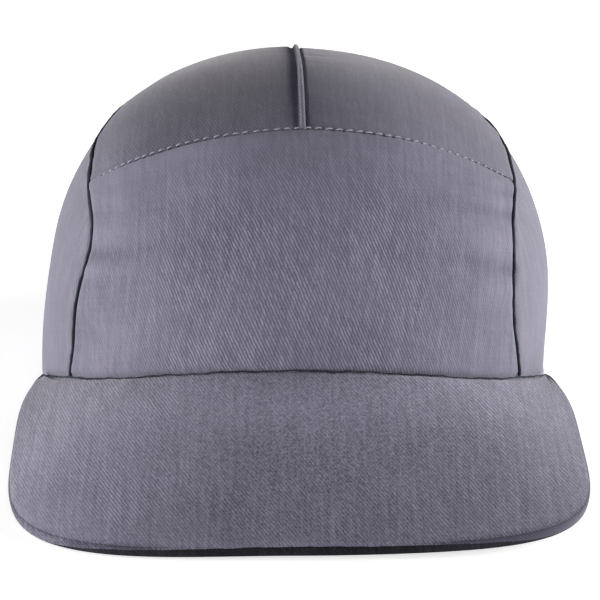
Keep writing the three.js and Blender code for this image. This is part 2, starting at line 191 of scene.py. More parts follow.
def unleaned(p):
    """Back from the leaning crown to its own level frame."""
    y = p[..., 1] * math.cos(LEAN) - p[..., 2] * math.sin(LEAN) + CROWN_BACK
    z = p[..., 2] * math.cos(LEAN) + p[..., 1] * math.sin(LEAN)
    return np.stack([p[..., 0], y, z], -1)


def wall_point(azimuth, height, depth=0.0):
    """Point of the crown in its own level frame, at an azimuth and a height above its rim plane."""
    angle = np.radians(azimuth)
    direction = np.stack([np.sin(angle), -np.cos(angle), np.zeros_like(angle)], -1)
    flat = crown_point(direction, depth)
    power = section_power(np.cos(angle))
    share = np.clip(height, 0, None) / (CROWN_HEIGHT - depth)
    shrink = np.clip(1 - share**power, 0, None) ** (1 / power)
    return np.stack([flat[..., 0] * shrink, flat[..., 1] * shrink, np.broadcast_to(height, angle.shape)], -1)


def rim_lift(azimuth):
    """Height of the crown's rim above the table."""
    turn = np.minimum(np.abs(azimuth) / RIM_LEVEL_AZIMUTH, 1)
    return BROW_LIFT * (0.5 + 0.5 * np.cos(np.pi * turn)) ** RIM_ARCH_POWER


def crown_at(azimuth, lift, depth=0.0):
    """Point of the leaning crown at an azimuth and a height above the table."""
    azimuth = np.asarray(azimuth, float)
    height = np.zeros_like(azimuth)
    point = leaned(wall_point(azimuth, height, depth))
    for _ in range(HEIGHT_ROUNDS):
        height = height + (lift - point[..., 2]) / math.cos(LEAN)
        point = leaned(wall_point(azimuth, height, depth))
    return point


def rim_point(azimuth, above=0.0, depth=0.0):
    return crown_at(azimuth, rim_lift(azimuth) + above, depth)


def onto_crown(p, depth=0.0):
    return leaned(crown_point(unleaned(p), depth))


def hollow_at(p):
    """Depth of the soft hollow at a point."""
    return HOLLOW_DEPTH * nearness(unleaned(p)[..., :2] - HOLLOW_PLACE, HOLLOW_REACH)


def settled(p):
    """The uneven cloth: above the rim it is turned about the crown's middle and moved to the right."""
    u = unleaned(p)
    azimuth = np.degrees(np.arctan2(u[..., 0], -u[..., 1]))
    above_rim = p[..., 2] - rim_lift(azimuth)
    share = smooth_step(above_rim / SETTLE_HEIGHT)
    turn = SETTLE_TURN * share
    for bend_azimuth, height, degrees, reach in SEAM_BENDS:
        spot = leaned(wall_point(np.array(float(bend_azimuth)), height * CROWN_HEIGHT))
        near = nearness(p - spot, reach) * smooth_step(above_rim / BEND_START_HEIGHT)
        turn = turn + math.radians(degrees) * near
    x = u[..., 0] * np.cos(turn) - u[..., 1] * np.sin(turn) + SETTLE_SHIFT * share
    y = u[..., 1] * np.cos(turn) + u[..., 0] * np.sin(turn)
    return leaned(np.stack([x, y, u[..., 2]], -1))


def jogged(p):
    """The side seams step inwards just above the place where the front seam meets them."""
    moved = np.array(p)
    for mirror in (1, -1):
        moved[..., 0] -= mirror * JOG * nearness(p - JOG_SPOT * np.array([mirror, 1, 1]), JOG_REACH)
    return moved


def on_face(p, depth=0.0):
    """Point of the uneven cloth at a depth below the outer face."""
    return settled(onto_crown(jogged(p), depth + hollow_at(p)))


def crown_normal(p):
    """Unit normal of the crown's face, from two small steps along it."""
    step = 0.5 * MM
    out = p - onto_crown(p, 20 * MM)
    side = unit(np.cross(np.array([0, 0, 1.0]), out))
    rise = unit(np.cross(out, side))
    across = onto_crown(p + side * step) - onto_crown(p - side * step)
    up = onto_crown(p + rise * step) - onto_crown(p - rise * step)
    return unit(np.cross(across, up))


def spline(points, at):
    """Centripetal Catmull-Rom curve through points, at shares of its rows from 0 to 1."""
    pts = np.asarray(points, float)
    pts = np.vstack([2 * pts[0] - pts[1], pts, 2 * pts[-1] - pts[-2]])
    spans = len(pts) - 3
    found = []
    for share in at:
        place = share * spans
        k = min(int(place), spans - 1)
        w = place - k
        p0, p1, p2, p3 = pts[k : k + 4]
        d0, d1, d2 = (max(np.linalg.norm(b - a), 1e-9) ** 0.5 for a, b in ((p0, p1), (p1, p2), (p2, p3)))
        t1 = ((p1 - p0) / d0 - (p2 - p0) / (d0 + d1) + (p2 - p1) / d1) * d1
        t2 = ((p2 - p1) / d1 - (p3 - p1) / (d1 + d2) + (p3 - p2) / d2) * d1
        c2 = -3 * p1 + 3 * p2 - 2 * t1 - t2
        c3 = 2 * p1 - 2 * p2 + t1 + t2
        found.append(p1 + t1 * w + c2 * w**2 + c3 * w**3)
    return np.array(found)


def seam_points(rows, ends_on_rim):
    """Places of a seam table's rows on the crown."""
    found = []
    for index, (azimuth, height) in enumerate(rows):
        if ends_on_rim and index in (0, len(rows) - 1):
            found.append(rim_point(azimuth))
        else:
            found.append(leaned(wall_point(np.array(float(azimuth)), height * CROWN_HEIGHT)))
    return np.array(found)


SIDE_ROWS = seam_points(SIDE_SEAM, True)
JOG_SPOT = leaned(wall_point(np.array(float(JOG_AZIMUTH)), JOG_HEIGHT * CROWN_HEIGHT))
FRONT_ROWS = seam_points(FRONT_SEAM, False)
MIRROR = np.array([-1.0, 1.0, 1.0])
FRONT_CURVE = np.vstack([FRONT_ROWS[1] * MIRROR, FRONT_ROWS, SIDE_ROWS[SEAM_JOIN_ROW]])


def side_line(from_row, to_row, shares):
    """Points of the right side seam between two of its rows."""
    rows = from_row + (to_row - from_row) * np.asarray(shares)
    return onto_crown(spline(SIDE_ROWS, rows / (len(SIDE_ROWS) - 1)))


def front_line(shares):
    """Points of the front seam, from the middle to the right side seam."""
    last = len(FRONT_CURVE) - 1
    return onto_crown(spline(FRONT_CURVE, (1 + (last - 1) * np.asarray(shares)) / last))


def back_azimuth(across):
    """Azimuth behind at which the rim lies that far to the right."""
    azimuth = np.full_like(across, 180.0)
    for _ in range(AZIMUTH_ROUNDS):
        azimuth = azimuth - np.degrees((across - rim_point(azimuth)[..., 0]) / CROWN_BACK)
    return azimuth


def waves(points, length, seed, count=7):
    """Soft unevenness from -1 to 1, as a sum of plane waves of about one length."""
    rng = np.random.default_rng(seed)
    total = np.zeros(points.shape[:-1])
    for _ in range(count):
        along = points @ unit(rng.normal(size=3))
        wavelength = length * rng.uniform(0.7, 1.5)
        total += wavy(along, wavelength, rng.uniform(0, 2 * np.pi))
    return total / math.sqrt(count) / 1.6


def graded(step, length, edges=(0.25, 0.55, 0.95, 1.5, 2.2, 3.1)):
    """Shares from 0 to 1 for a line of a length, with fine steps at both ends. edges is in mm."""
    fine = np.array([e * MM / length for e in edges])
    inner = np.linspace(fine[-1], 1 - fine[-1], max(int(length / step), 4))
    return np.concatenate([[0], fine[:-1], inner, 1 - fine[:-1][::-1], [1]])


def running(points, axis):
    """Distance along the grid's lines from their first point."""
    steps = np.linalg.norm(np.diff(points, axis=axis), axis=-1)
    zero = np.zeros_like(np.take(steps, [0], axis=axis))
    return np.concatenate([zero, np.cumsum(steps, axis=axis)], axis=axis)


def inward(line, centre):
    """Unit vectors square to a border, along the crown, towards a point inside it."""
    tangent = np.gradient(line, axis=0)
    side = unit(np.cross(tangent, crown_normal(line)))
    return side * np.sign(np.einsum("ij,ij->i", side, centre - line))[:, None]


SAME_WAY = 0.7


def inset_borders(lines, insets):
    """Moves the four border lines inwards, each by its own distance; 0 keeps a line in place."""
    centre = sum(line.mean(0) for line in lines.values()) / 4
    into = {k: inward(v, centre) for k, v in lines.items()}
    moved = {k: v + into[k] * insets[k] for k, v in lines.items()}
    for level, at_level in (("bottom", 0), ("top", -1)):
        for upright, at_upright in (("left", 0), ("right", -1)):
            corner = lines[level][at_upright]
            a, b = into[level][at_upright], into[upright][at_level]
            if insets[level] == 0:
                along = lines[level][1 if at_upright == 0 else -2] - corner
                spot = corner + unit(along) * insets[upright]
            elif np.dot(a, b) > SAME_WAY:
                spot = corner + a * insets[level]
            else:
                spot = corner + a * insets[level] + b * insets[upright]
            moved[level][at_upright] = moved[upright][at_level] = spot
    return moved


def panel_grid(borders, insets, us, vs):
    """Grid that fills four border lines, given as bottom, top, left and right, with the distances along
    its rows and up its columns. Rows run up, columns run to the right."""
    names = "bottom", "top", "left", "right"
    moved = inset_borders(dict(zip(names, borders)), dict(zip(names, insets)))
    bottom, top, left, right = (moved[name] for name in names)
    u = us[None, :, None]
    v = vs[:, None, None]
    upright = bottom[None] * (1 - v) + top[None] * v
    level = left[:, None] * (1 - u) + right[:, None] * u
    low = bottom[0] * (1 - u) + bottom[-1] * u
    high = top[0] * (1 - u) + top[-1] * u
    grid = onto_crown(upright + level - low * (1 - v) - high * v)
    return grid, running(grid, 1), running(grid, 0)


SHARP_ANGLE = math.radians(60)


def make_piece(name, slot, places, faces, uvs, replaced=None, shade=None):
    """Object from arrays of places, faces, cloth coordinates and painted shade, ridden on the one body."""
    mesh = bpy.data.meshes.new(name)
    mesh.from_pydata((places + PLACE).tolist(), [], faces)
    mesh.validate()
    layer = mesh.uv_layers.new(name="cloth")
    corner = np.zeros(len(mesh.loops), dtype=np.int32)
    mesh.loops.foreach_get("vertex_index", corner)
    layer.data.foreach_set("uv", uvs[corner].astype(np.float32).ravel())
    # The shade attribute is painted shade, which the cloth's material takes off its colour.
    if shade is not None:
        painted_shade_layer = mesh.attributes.new("shade", "FLOAT", "POINT")
        painted_shade_layer.data.foreach_set("value", shade.astype(np.float32).ravel())
    mesh.shade_smooth()
    mesh.set_sharp_from_angle(angle=SHARP_ANGLE)
    piece = add_object(name, mesh)
    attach(piece, "root")
    if replaced:
        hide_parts(replaced)
    return piece


def closed_skin(name, slot, replaced, outer, inner, cloth, shade=None):
    """Closed body between two grids of the same size. cloth holds the coordinates of the weave."""
    rows, columns = outer.shape[:2]
    places = np.concatenate([outer.reshape(-1, 3), inner.reshape(-1, 3)])
    uvs = np.concatenate([cloth.reshape(-1, 2)] * 2)
    k = np.arange(rows * columns).reshape(rows, columns)
    n = rows * columns

    def quads(*corners):
        return np.stack([corner.ravel() for corner in corners], 1)

    a, b, c, d = k[:-1, :-1], k[:-1, 1:], k[1:, 1:], k[1:, :-1]
    faces = [quads(a, b, c, d), quads(a + n, d + n, c + n, b + n)]
    for border, forward in ((k[0], False), (k[-1], True), (k[:, 0], True), (k[:, -1], False)):
        near, far = border[:-1], border[1:]
        faces.append(quads(near, far, far + n, near + n) if forward else quads(near, near + n, far + n, far))
    if shade is not None:
        shade = np.concatenate([shade.ravel()] * 2)
    return make_piece(name, slot, places, np.concatenate(faces).tolist(), uvs, replaced, shade)


def cloth_coordinates(grid, centre_column):
    """Distances along the rows and up the columns, which a weave follows."""
    across = running(grid, 1)
    across = across - across[:, centre_column][:, None]
    return np.stack([across, running(grid, 0)], -1) * CLOTH_SCALE


SEAM_SINK = 0.5 * MM
SEAM_ROLL = 0.85 * MM
SEAM_SWELL = 0.25 * MM
SWELL_AT = 3.2 * MM
SWELL_REACH = 2.2 * MM
HEM_TURN = 1.3 * MM
TURN_END = 34 * MM
TURN_FADE = 8 * MM
FOLD_START = 1.6 * MM


def rolled(distance, sink=SEAM_SINK, roll=SEAM_ROLL):
    """Depth of cloth that turns down into a seam, with the faint swell of the seam allowance behind it."""
    return sink * bell(distance, roll) - SEAM_SWELL * bell(distance - SWELL_AT, SWELL_REACH)


def turned_under(height):
    """Depth of the cloth that turns in under the crown where it's sewn to the brim."""
    return HEM_TURN * bell(height, HEM_TURN)


def puckers(distance, along, seed, depth, spacing, reach):
    """Short folds that run square to a seam and fade away from it. The last three values are in mm."""
    rng = np.random.default_rng(seed)
    offset = rng.uniform(0, 2 * np.pi, 3)
    spacing = spacing * MM
    ripple = wavy(along, spacing, offset[0] + 0.9 * wavy(along, 3.1 * spacing))
    ripple += 0.5 * wavy(along, 0.61 * spacing, offset[1])
    strength = 0.5 + 0.5 * wavy(along, 4.3 * spacing, offset[2])
    fade = np.exp(-distance / (reach * MM)) * (1 - bell(distance, FOLD_START))
    return depth * MM * ripple * strength * fade


# Folds beside the seams of the front panel, in mm: height, depth, half width and reach from the seam.
RIGHT_FOLDS = [
    (30, -0.5, 4, 20), (38, 1.1, 2.6, 24), (47, -0.7, 4.5, 22), (57, 1.0, 2.5, 22),
    (61, -0.4, 2, 14), (66, 0.9, 1.8, 16), (72, 0.6, 1.6, 12),
]
LEFT_FOLDS = [
    (14, 0.4, 4, 12), (37, -0.9, 2.8, 13), (43, 1.2, 2.4, 15), (50, -0.4, 3, 12),
    (57, 0.6, 3, 16), (68, 0.4, 2.5, 12),
]


def folds(distance, along, chart):
    """Depth of the folds of a chart, at a distance from their seam."""
    total = 0 * distance
    for place, depth, width, reach in chart:
        total = total + depth * MM * bell(along - place * MM, width * MM) * np.exp(-distance / (reach * MM))
    return total * (1 - bell(distance, FOLD_START))


LEAST_CLOTH = 0.9 * MM


def panel(name, grid, relief, stands_on_rim, cloth, shade=None):
    """Cloth wall of a panel with its relief, replacing the plain solid."""
    outer = on_face(grid, relief)
    inner = on_face(grid, np.maximum(relief + LEAST_CLOTH, WALL))
    if stands_on_rim:
        outer[0] = onto_crown(grid[0], np.maximum(relief[0], 0))
        inner[0] = onto_crown(grid[0], WALL)
        inner[0, :, 2] = outer[0, :, 2]
    return closed_skin(name + "_cloth", "crown_twill", name, outer, inner, cloth, shade)


def side_name(name, side):
    return name + ("_right" if side > 0 else "_left")


def side_piece(name, side, grid, relief, stands_on_rim, centre_column):
    """Panel on one side. The left one is made from the right one's grid."""
    cloth = cloth_coordinates(grid, centre_column)
    if side < 0:
        grid, relief, cloth = (grid * MIRROR)[:, ::-1], relief[:, ::-1], cloth[:, ::-1] * np.array([-1, 1])
    return panel(side_name(name, side), grid, relief, stands_on_rim, cloth)


# Drop of the crown's hem below the rim: over the brow, and over the ends of the brim.
BROW_DROP = 0.7 * MM
BROW_DROP_END = 60
BROW_DROP_FADE = 20
END_DROP = 1.6 * MM
END_DROP_AZIMUTH = BRIM_END_AZIMUTH + 3
END_DROP_REACH = 9


def hem_drop(azimuth):
    """Distance by which the crown's hem hangs lower than the rim."""
    turn = np.abs(azimuth)
    at_brow = BROW_DROP * smooth_step((BROW_DROP_END - turn) / BROW_DROP_FADE)
    return at_brow + END_DROP * bell(turn - END_DROP_AZIMUTH, END_DROP_REACH)


def hem_line(azimuth):
    line = rim_point(azimuth)
    line[:, 2] -= hem_drop(azimuth)
    return line


GRID_STEP = 1.5 * MM
SIDE_INSET = 0.26 * MM
TOP_INSET = 0.03 * MM
# Painted shade in the front panel's folds, for each mm of their depth.
FOLD_SHADE = 0.22

# About how long the panels' borders are, for the spacing of their grids.
FRONT_SPAN = 150 * MM
UPRIGHT_SPAN = 75 * MM
TOP_SPAN = 75 * MM
OVER_SPAN = 190 * MM
SIDE_SPAN = 125 * MM


def front_panel():
    us = graded(GRID_STEP, FRONT_SPAN)
    vs = graded(GRID_STEP, UPRIGHT_SPAN)
    half = 2 * us - 1
    bottom = hem_line(SIDE_SEAM[0][0] * half)
    top = front_line(np.abs(half))
    top[half < 0] *= MIRROR
    right = side_line(0, SEAM_JOIN_ROW, vs)
    insets = 0, TOP_INSET, SIDE_INSET, SIDE_INSET
    grid, columns, rows = panel_grid((bottom, top, right * MIRROR, right), insets, us, vs)
    to_left, to_right = columns, columns[:, -1:] - columns
    to_top = rows[-1:] - rows
    relief = rolled(to_left) + rolled(to_right) + rolled(to_top, 0.3 * MM, 0.6 * MM)
    relief += turned_under(rows)
    creases = folds(to_right, rows, RIGHT_FOLDS) + folds(to_left, rows, LEFT_FOLDS)
    relief += creases
    relief += puckers(to_right, rows, 11, 0.3, 9, 12)
    relief += puckers(to_left, rows, 12, 0.3, 9, 12)
    relief += puckers(rows, columns, 13, 0.16, 11, 7)
    relief += puckers(to_top, columns, 14, 0.14, 9, 6)
    relief += 0.45 * MM * waves(grid, 70 * MM, 15)
    middle = int(np.argmin(np.abs(half)))
    # Painted shade: darker in the hollows of the folds, lighter on their crests.
    shade = FOLD_SHADE * creases / MM
    return panel("front_panel", grid, relief, True, cloth_coordinates(grid, middle), shade)


def rear_border(us):
    """Rear border of the right top panel: over the arch, then along the rim to the side seam."""
    angle = 0.5 * np.pi * np.minimum(us / ARCH_SHARE, 1)
    over = crown_at(back_azimuth(ARCH_HALF_WIDTH * np.sin(angle)), ARCH_HEIGHT * np.cos(angle))
    foot = back_azimuth(np.array([ARCH_HALF_WIDTH]))[0]
    along = np.clip((us - ARCH_SHARE) / (1 - ARCH_SHARE), 0, 1)
    level = rim_point(foot + (SIDE_SEAM[-1][0] - foot) * along)
    return np.where((us > ARCH_SHARE)[:, None], level, over)


def top_grid(us, vs):
    """Grid of the right top panel, from the front seam back to its rear border."""
    bottom = front_line(us)
    rear = rear_border(us)
    over = side_line(SEAM_JOIN_ROW, SEAM_BACK_ROW, np.minimum(vs / OVER_SHARE, 1))
    down = np.clip((vs - OVER_SHARE) / (1 - OVER_SHARE), 0, 1)
    back = side_line(SEAM_BACK_ROW, SEAM_END_ROW, down)
    side = np.where((vs > OVER_SHARE)[:, None], back, over)
    chord = bottom[0] + (rear[0] - bottom[0]) * vs[:, None]
    chord[:, 2] += CROWN_HEIGHT * np.sin(np.pi * vs)
    middle = onto_crown(chord)
    return panel_grid((bottom, rear, middle, side), (TOP_INSET, 0, TOP_INSET, SIDE_INSET), us, vs)


RIDGE_WIDTH = 1.9 * MM
RIDGE_HEIGHT = 0.85 * MM
RIDGE_POWER = 0.6
CENTRE_SINK = 0.6 * MM


def centre_seam(columns, side):
    """Relief at the centre seam: the left panel carries the fold, and the right one sinks beside it."""
    if side > 0:
        return CENTRE_SINK * bell(columns, 0.6 * MM)
    fold = np.clip(1 - ((columns - RIDGE_WIDTH / 2) / (RIDGE_WIDTH / 2)) ** 2, 0, 1)
    beside = columns - RIDGE_WIDTH - 0.7 * MM
    return CENTRE_SINK * bell(beside, 0.95 * MM) - RIDGE_HEIGHT * fold**RIDGE_POWER


def top_panel(side):
    us = graded(GRID_STEP, TOP_SPAN, (0.2, 0.45, 0.75, 1.1, 1.5, 1.9, 2.3, 2.8))
    vs = graded(GRID_STEP, OVER_SPAN)
    grid, columns, rows = top_grid(us, vs)
    to_side = columns[:, -1:] - columns
    to_rear = rows[-1:] - rows
    relief = rolled(to_side) - 0.25 * MM * bell(rows, 4 * MM) + 0.2 * MM * bell(rows, 0.5 * MM)
    relief += 0.5 * MM * bell(to_rear, 0.5 * MM) - 0.3 * MM * np.exp(-((to_rear / (5 * MM)) ** 4))
    relief += centre_seam(columns, side)
    seed = 20 if side > 0 else 40
    relief += puckers(to_side, rows, seed + 1, 0.34, 14, 11)
    relief += puckers(columns, rows, seed + 2, 0.16, 12, 7)
    relief += 0.5 * MM * waves(grid * np.array([side, 1, 1]), 75 * MM, seed + 3)
    return side_piece("top_panel", side, grid, relief, False, 0)


def side_panel(side):
    us = graded(GRID_STEP, SIDE_SPAN)
    vs = graded(GRID_STEP, UPRIGHT_SPAN)
    front, back = SIDE_SEAM[0][0], SIDE_SEAM[-1][0]
    bottom = hem_line(front + (back - front) * us)
    top = side_line(SEAM_JOIN_ROW, SEAM_BACK_ROW, us)
    left = side_line(0, SEAM_JOIN_ROW, vs)
    right = side_line(SEAM_BACK_ROW, SEAM_END_ROW, 1 - vs)
    insets = 0, SIDE_INSET, SIDE_INSET, SIDE_INSET
    grid, columns, rows = panel_grid((bottom, top, left, right), insets, us, vs)
    relief = rolled(columns) + rolled(columns[:, -1:] - columns) + rolled(rows[-1:] - rows)
    relief = np.minimum(relief, SEAM_SINK)
    relief += turned_under(rows) * smooth_step((TURN_END - columns) / TURN_FADE)
    seed = 60 if side > 0 else 80
    relief += puckers(columns, rows, seed + 1, 0.3, 15, 10)
    relief += puckers(rows[-1:] - rows, columns, seed + 2, 0.28, 14, 9)
    relief += 0.5 * MM * waves(grid * np.array([side, 1, 1]), 70 * MM, seed + 3)
    return side_piece("side_panel", side, grid, relief, True, len(us) // 2)


def brim_outline(angle):
    """Outer edge of the brim in plan. The angle is 0 in front and positive on the right."""
    turn = np.radians(angle)
    length = np.where(np.cos(turn) > 0, BRIM_REACH, BRIM_TAIL)
    across = np.abs(np.sin(turn)) / BRIM_HALF_WIDTH
    along = np.abs(np.cos(turn)) / length
    power = np.where(turn > 0, BRIM_RIGHT_POWER, BRIM_LEFT_POWER)
    power = np.where(np.cos(turn) > 0, power, BRIM_REAR_POWER)
    radius = (across**power + along**power) ** (-1 / power)
    return np.stack([radius * np.sin(turn) + BRIM_OFFSET, BRIM_CENTRE - radius * np.cos(turn), 0 * turn], -1)


def edge_lift(angle):
    """Height of the brim's outer edge, without the rise that settles it on the table."""
    turn = np.abs(angle)
    front = BRIM_FRONT_LIFT * np.cos(0.5 * np.pi * np.minimum(turn / BRIM_CORNER_ANGLE, 1)) ** 2
    share = np.clip((turn - BRIM_CORNER_ANGLE) / (BRIM_END_ANGLE - BRIM_CORNER_ANGLE), 0, 1)
    right = np.sin(np.pi * np.clip(angle / BRIM_END_ANGLE, 0, 1)) ** 2
    return front + BRIM_RIGHT_RISE * right + BRIM_SIDE_LIFT * np.sin(0.5 * np.pi * share) ** 2


def brim_top(edge_rise, shares, outs):
    """Grid from the seam to the outer edge of the brim's top face: a row for each of outs, from 0 to 1."""
    azimuth = shares * BRIM_END_AZIMUTH
    seam = rim_point(azimuth)
    seam[:, 2] = rim_lift(azimuth) - SEAM_GAP
    edge = brim_outline(shares * BRIM_END_ANGLE)
    edge[:, 2] = edge_lift(shares * BRIM_END_ANGLE) + edge_rise
    out = outs[:, None, None]
    grid = seam[None] * (1 - out) + edge[None] * out
    grid[..., 2] += BRIM_BULGE * np.sin(np.pi * outs)[:, None] * np.cos(0.5 * np.pi * shares)[None]
    return grid


# Depth behind the crown's face and height over the rim of each row of the brim's cloth inside the crown.
TUCK = [(2.6, 7), (2.5, 3.5), (2.3, 0.4), (1.6, -0.7), (0.8, -1.0)]


def tucked_rows(shares):
    """Rows of the brim's cloth inside the crown: up behind the wall, down to the rim and out under it."""
    azimuth = shares * BRIM_END_AZIMUTH
    return np.array([rim_point(azimuth, rise * MM, depth * MM) for depth, rise in TUCK])


def even_ends(vectors):
    """Gives the narrow ends of the brim the directions of the lines a little inside them."""
    columns = vectors.shape[-2]
    inner = max(round(0.03 * columns), 1)
    nearest = np.clip(np.arange(columns), inner, columns - 1 - inner)
    return vectors[..., nearest, :]


def grid_normal(grid):
    normal = unit(np.cross(np.gradient(grid, axis=1), np.gradient(grid, axis=0)))
    return even_ends(normal * np.sign(normal[..., 2:]))


def settled_rise():
    """Height of the outer edge at which the lower face just touches the table."""
    rise = BRIM_THICKNESS
    shares = np.linspace(-1, 1, 181)
    for _ in range(RISE_ROUNDS):
        grid = brim_top(rise, shares, np.linspace(0, 1, 12))
        rise -= (grid - grid_normal(grid) * BRIM_THICKNESS)[..., 2].min()
    return rise


BRIM_COLUMNS = 261
BRIM_ROWS = 64
ROW_CROWDING = 1.15
CLOTH_TURN = 1.0 * MM
TUCK_NARROWING = 0.01
GROOVE = 0.8 * MM
GROOVE_REACH = 1.1 * MM

# Rounded edge: how far it is rounded, its powers, and how it thins over the last share of each end.
EDGE_ROUND = 0.9 * MM
EDGE_OUT_POWER = 0.7
EDGE_DOWN_POWER = 0.75
EDGE_STEPS = 15
EDGE_UPRIGHT = np.array([0.35, 0.35, 1.0])
EDGE_PULL = 6 * MM
END_THICKNESS = 0.3
END_SHARE = 0.06
UNDER_END = 7

# Painted shade that tones down the light cloth near the edge and on its rounding, which the side lamps light
# brightly. The angles run round the brim, from 0 in front.
EDGE_SHADE = 0.34
CORNER_SHADE = 0.51
SHADE_REACH = 4 * MM
SHADE_START_ANGLE = 20
SHADE_RISE = 18
SIDE_SHADE_END_ANGLE = BRIM_END_ANGLE - 8
CORNER_SHADE_END_ANGLE = 86

# Dark band of the under cloth: its share of the rounded edge, its end, and its painted shade, darker in the
# middle and lighter towards the sides.
BAND_END_ANGLE = 57
BAND_POWER = 0.6
BAND_SHARE = 0.95
BAND_RAGGED = 0.03
BAND_MIDDLE_SHADE = 0.2
BAND_SIDE_SHADE = -0.35
BAND_FADE_START = 18
BAND_FADE = 32

# The brim's weave lies as if draped over it from the front.
BRIM_DRAPE = math.radians(21)
BRIM_SHORTENING = 0.8


def brim_relief(grid, from_seam, to_edge):
    """Height of the cloth over the board: soft waves, puckers and the groove along the seam."""
    relief = 0.35 * MM * waves(grid, 60 * MM, 101) + 0.12 * MM * waves(grid, 22 * MM, 102)
    relief *= np.clip(to_edge / (12 * MM), 0, 1)
    relief -= GROOVE * bell(from_seam, GROOVE_REACH)
    return relief + puckers(from_seam, running(grid, 1), 103, 0.16, 13, 8)


def edge_outward(grid, edge_normal):
    """Unit vectors that point out of the brim, square to its edge."""
    outward = unit(np.cross(np.gradient(grid, axis=1)[-1], edge_normal))
    away = np.sign(np.einsum("ij,ij->i", outward, grid[-1] - grid[-3]))
    return even_ends(outward * away[:, None])


def cover_share(turned):
    """Share of the rounded edge that the light cloth covers. The ragged dark band has the rest."""
    in_band = np.cos(0.5 * np.pi * turned / BAND_END_ANGLE)
    band = np.where(turned < BAND_END_ANGLE, in_band, 0) ** BAND_POWER
    rng = np.random.default_rng(104)
    ragged = np.convolve(rng.normal(size=len(turned)), [0.3, 0.6, 0.3], "same")
    return 1 - np.minimum(BAND_SHARE + BAND_RAGGED * ragged, 0.99) * band


def cover_shade(turned, to_edge, tuck_rows, roll_rows):
    """Painted shade on the light cloth, as rows for its tucked part, its top and its rounded edge. It tones
    down the rounding where the side lamps light it.
    """
    begins = smooth_step((turned - SHADE_START_ANGLE) / SHADE_RISE)
    at_side = begins * smooth_step((SIDE_SHADE_END_ANGLE - turned) / 12)
    at_corner = begins * smooth_step((CORNER_SHADE_END_ANGLE - turned) / 16)
    on_top = EDGE_SHADE * smooth_step(1 - to_edge / SHADE_REACH) * at_side
    on_roll = np.tile(EDGE_SHADE * at_side + CORNER_SHADE * at_corner, (roll_rows, 1))
    return np.concatenate([np.zeros((tuck_rows, len(turned))), on_top, on_roll])


def brim_cloth(points):
    up = points[..., 1] * math.sin(BRIM_DRAPE) + points[..., 2] * math.cos(BRIM_DRAPE)
    return np.stack([points[..., 0], up / BRIM_SHORTENING], -1) * CLOTH_SCALE


def brim_parts():
    """Top cover and dark under cloth. Both follow one rounded edge, and meet on it."""
    shares = np.linspace(-1, 1, BRIM_COLUMNS)
    outs = 1 - (1 - np.linspace(0, 1, BRIM_ROWS)) ** ROW_CROWDING
    grid = brim_top(settled_rise(), shares, outs)
    turned = np.abs(shares) * BRIM_END_ANGLE
    taper = END_THICKNESS + (1 - END_THICKNESS) * smooth_step((1 - np.abs(shares)) / END_SHARE)
    thick = (BRIM_THICKNESS * taper)[:, None]
    normal = grid_normal(grid)
    outward = edge_outward(grid, normal[-1])
    from_seam = running(grid, 0)
    to_edge = from_seam[-1:] - from_seam
    top = grid + normal * brim_relief(grid, from_seam, to_edge)[..., None]

    def rim_curve(turn):
        """Point on the rounded edge: turn 0 is its top, 1 its bottom. One turn for each column."""
        angle = np.pi * (0.5 - turn)
        out = EDGE_ROUND * taper**2 * (np.abs(np.cos(angle)) ** EDGE_OUT_POWER - 1)
        fall = 1 - np.sign(np.sin(angle)) * np.abs(np.sin(angle)) ** EDGE_DOWN_POWER
        down = 0.5 * thick * fall[:, None]
        back = normal[-1] * (1 - EDGE_UPRIGHT) * thick
        return grid[-1] + outward * out[:, None] - normal[-1] * EDGE_UPRIGHT * down - back

    meet = cover_share(turned)
    pull = np.clip(1 - to_edge / EDGE_PULL, 0, 1)[..., None] ** 2
    steps = np.linspace(0, 1, EDGE_STEPS)[1:]
    upper = top + (rim_curve(np.zeros(BRIM_COLUMNS)) - top[-1]) * pull
    roll = np.stack([rim_curve(meet * s) for s in steps])
    lower = grid - normal * thick
    lower = lower + (rim_curve(np.ones(BRIM_COLUMNS)) - lower[-1]) * pull
    band_roll = np.stack([rim_curve(1 - (1 - meet) * s) for s in steps])

    tuck = tucked_rows(shares)
    tuck_in = tuck - np.array([0, 0, CLOTH_TURN])
    tuck_in[:3] = tuck[:3] + TUCK_NARROWING * (tuck[:3].mean((0, 1)) - tuck[:3])
    turn_in = (CLOTH_TURN * taper**2)[:, None]
    cover = np.concatenate([tuck, upper, roll])[::-1]
    inner_cover = np.concatenate([tuck_in, upper - normal * turn_in, roll - outward * turn_in])[::-1]
    shade = cover_shade(turned, to_edge, len(tuck), len(roll))[::-1]
    brim = closed_skin("brim_cover", "brim_twill", "brim", cover, inner_cover, brim_cloth(cover), shade)

    kept = slice(UNDER_END, -UNDER_END)
    under = np.concatenate([lower, band_roll])[::-1, kept]
    inner_under = np.concatenate([lower + normal * turn_in, band_roll - outward * turn_in])[::-1, kept]
    # Painted shade on the band: darker in the middle, which faces away from the lamps, and painted light
    # towards the sides, which they light.
    fade = smooth_step((turned[kept] - BAND_FADE_START) / BAND_FADE)
    shade = np.tile(BAND_MIDDLE_SHADE + (BAND_SIDE_SHADE - BAND_MIDDLE_SHADE) * fade, (len(under), 1))
    skins = inner_under, under, brim_cloth(under), shade
    return brim, closed_skin("brim_under_cloth", "under_cloth", "brim_underside", *skins)


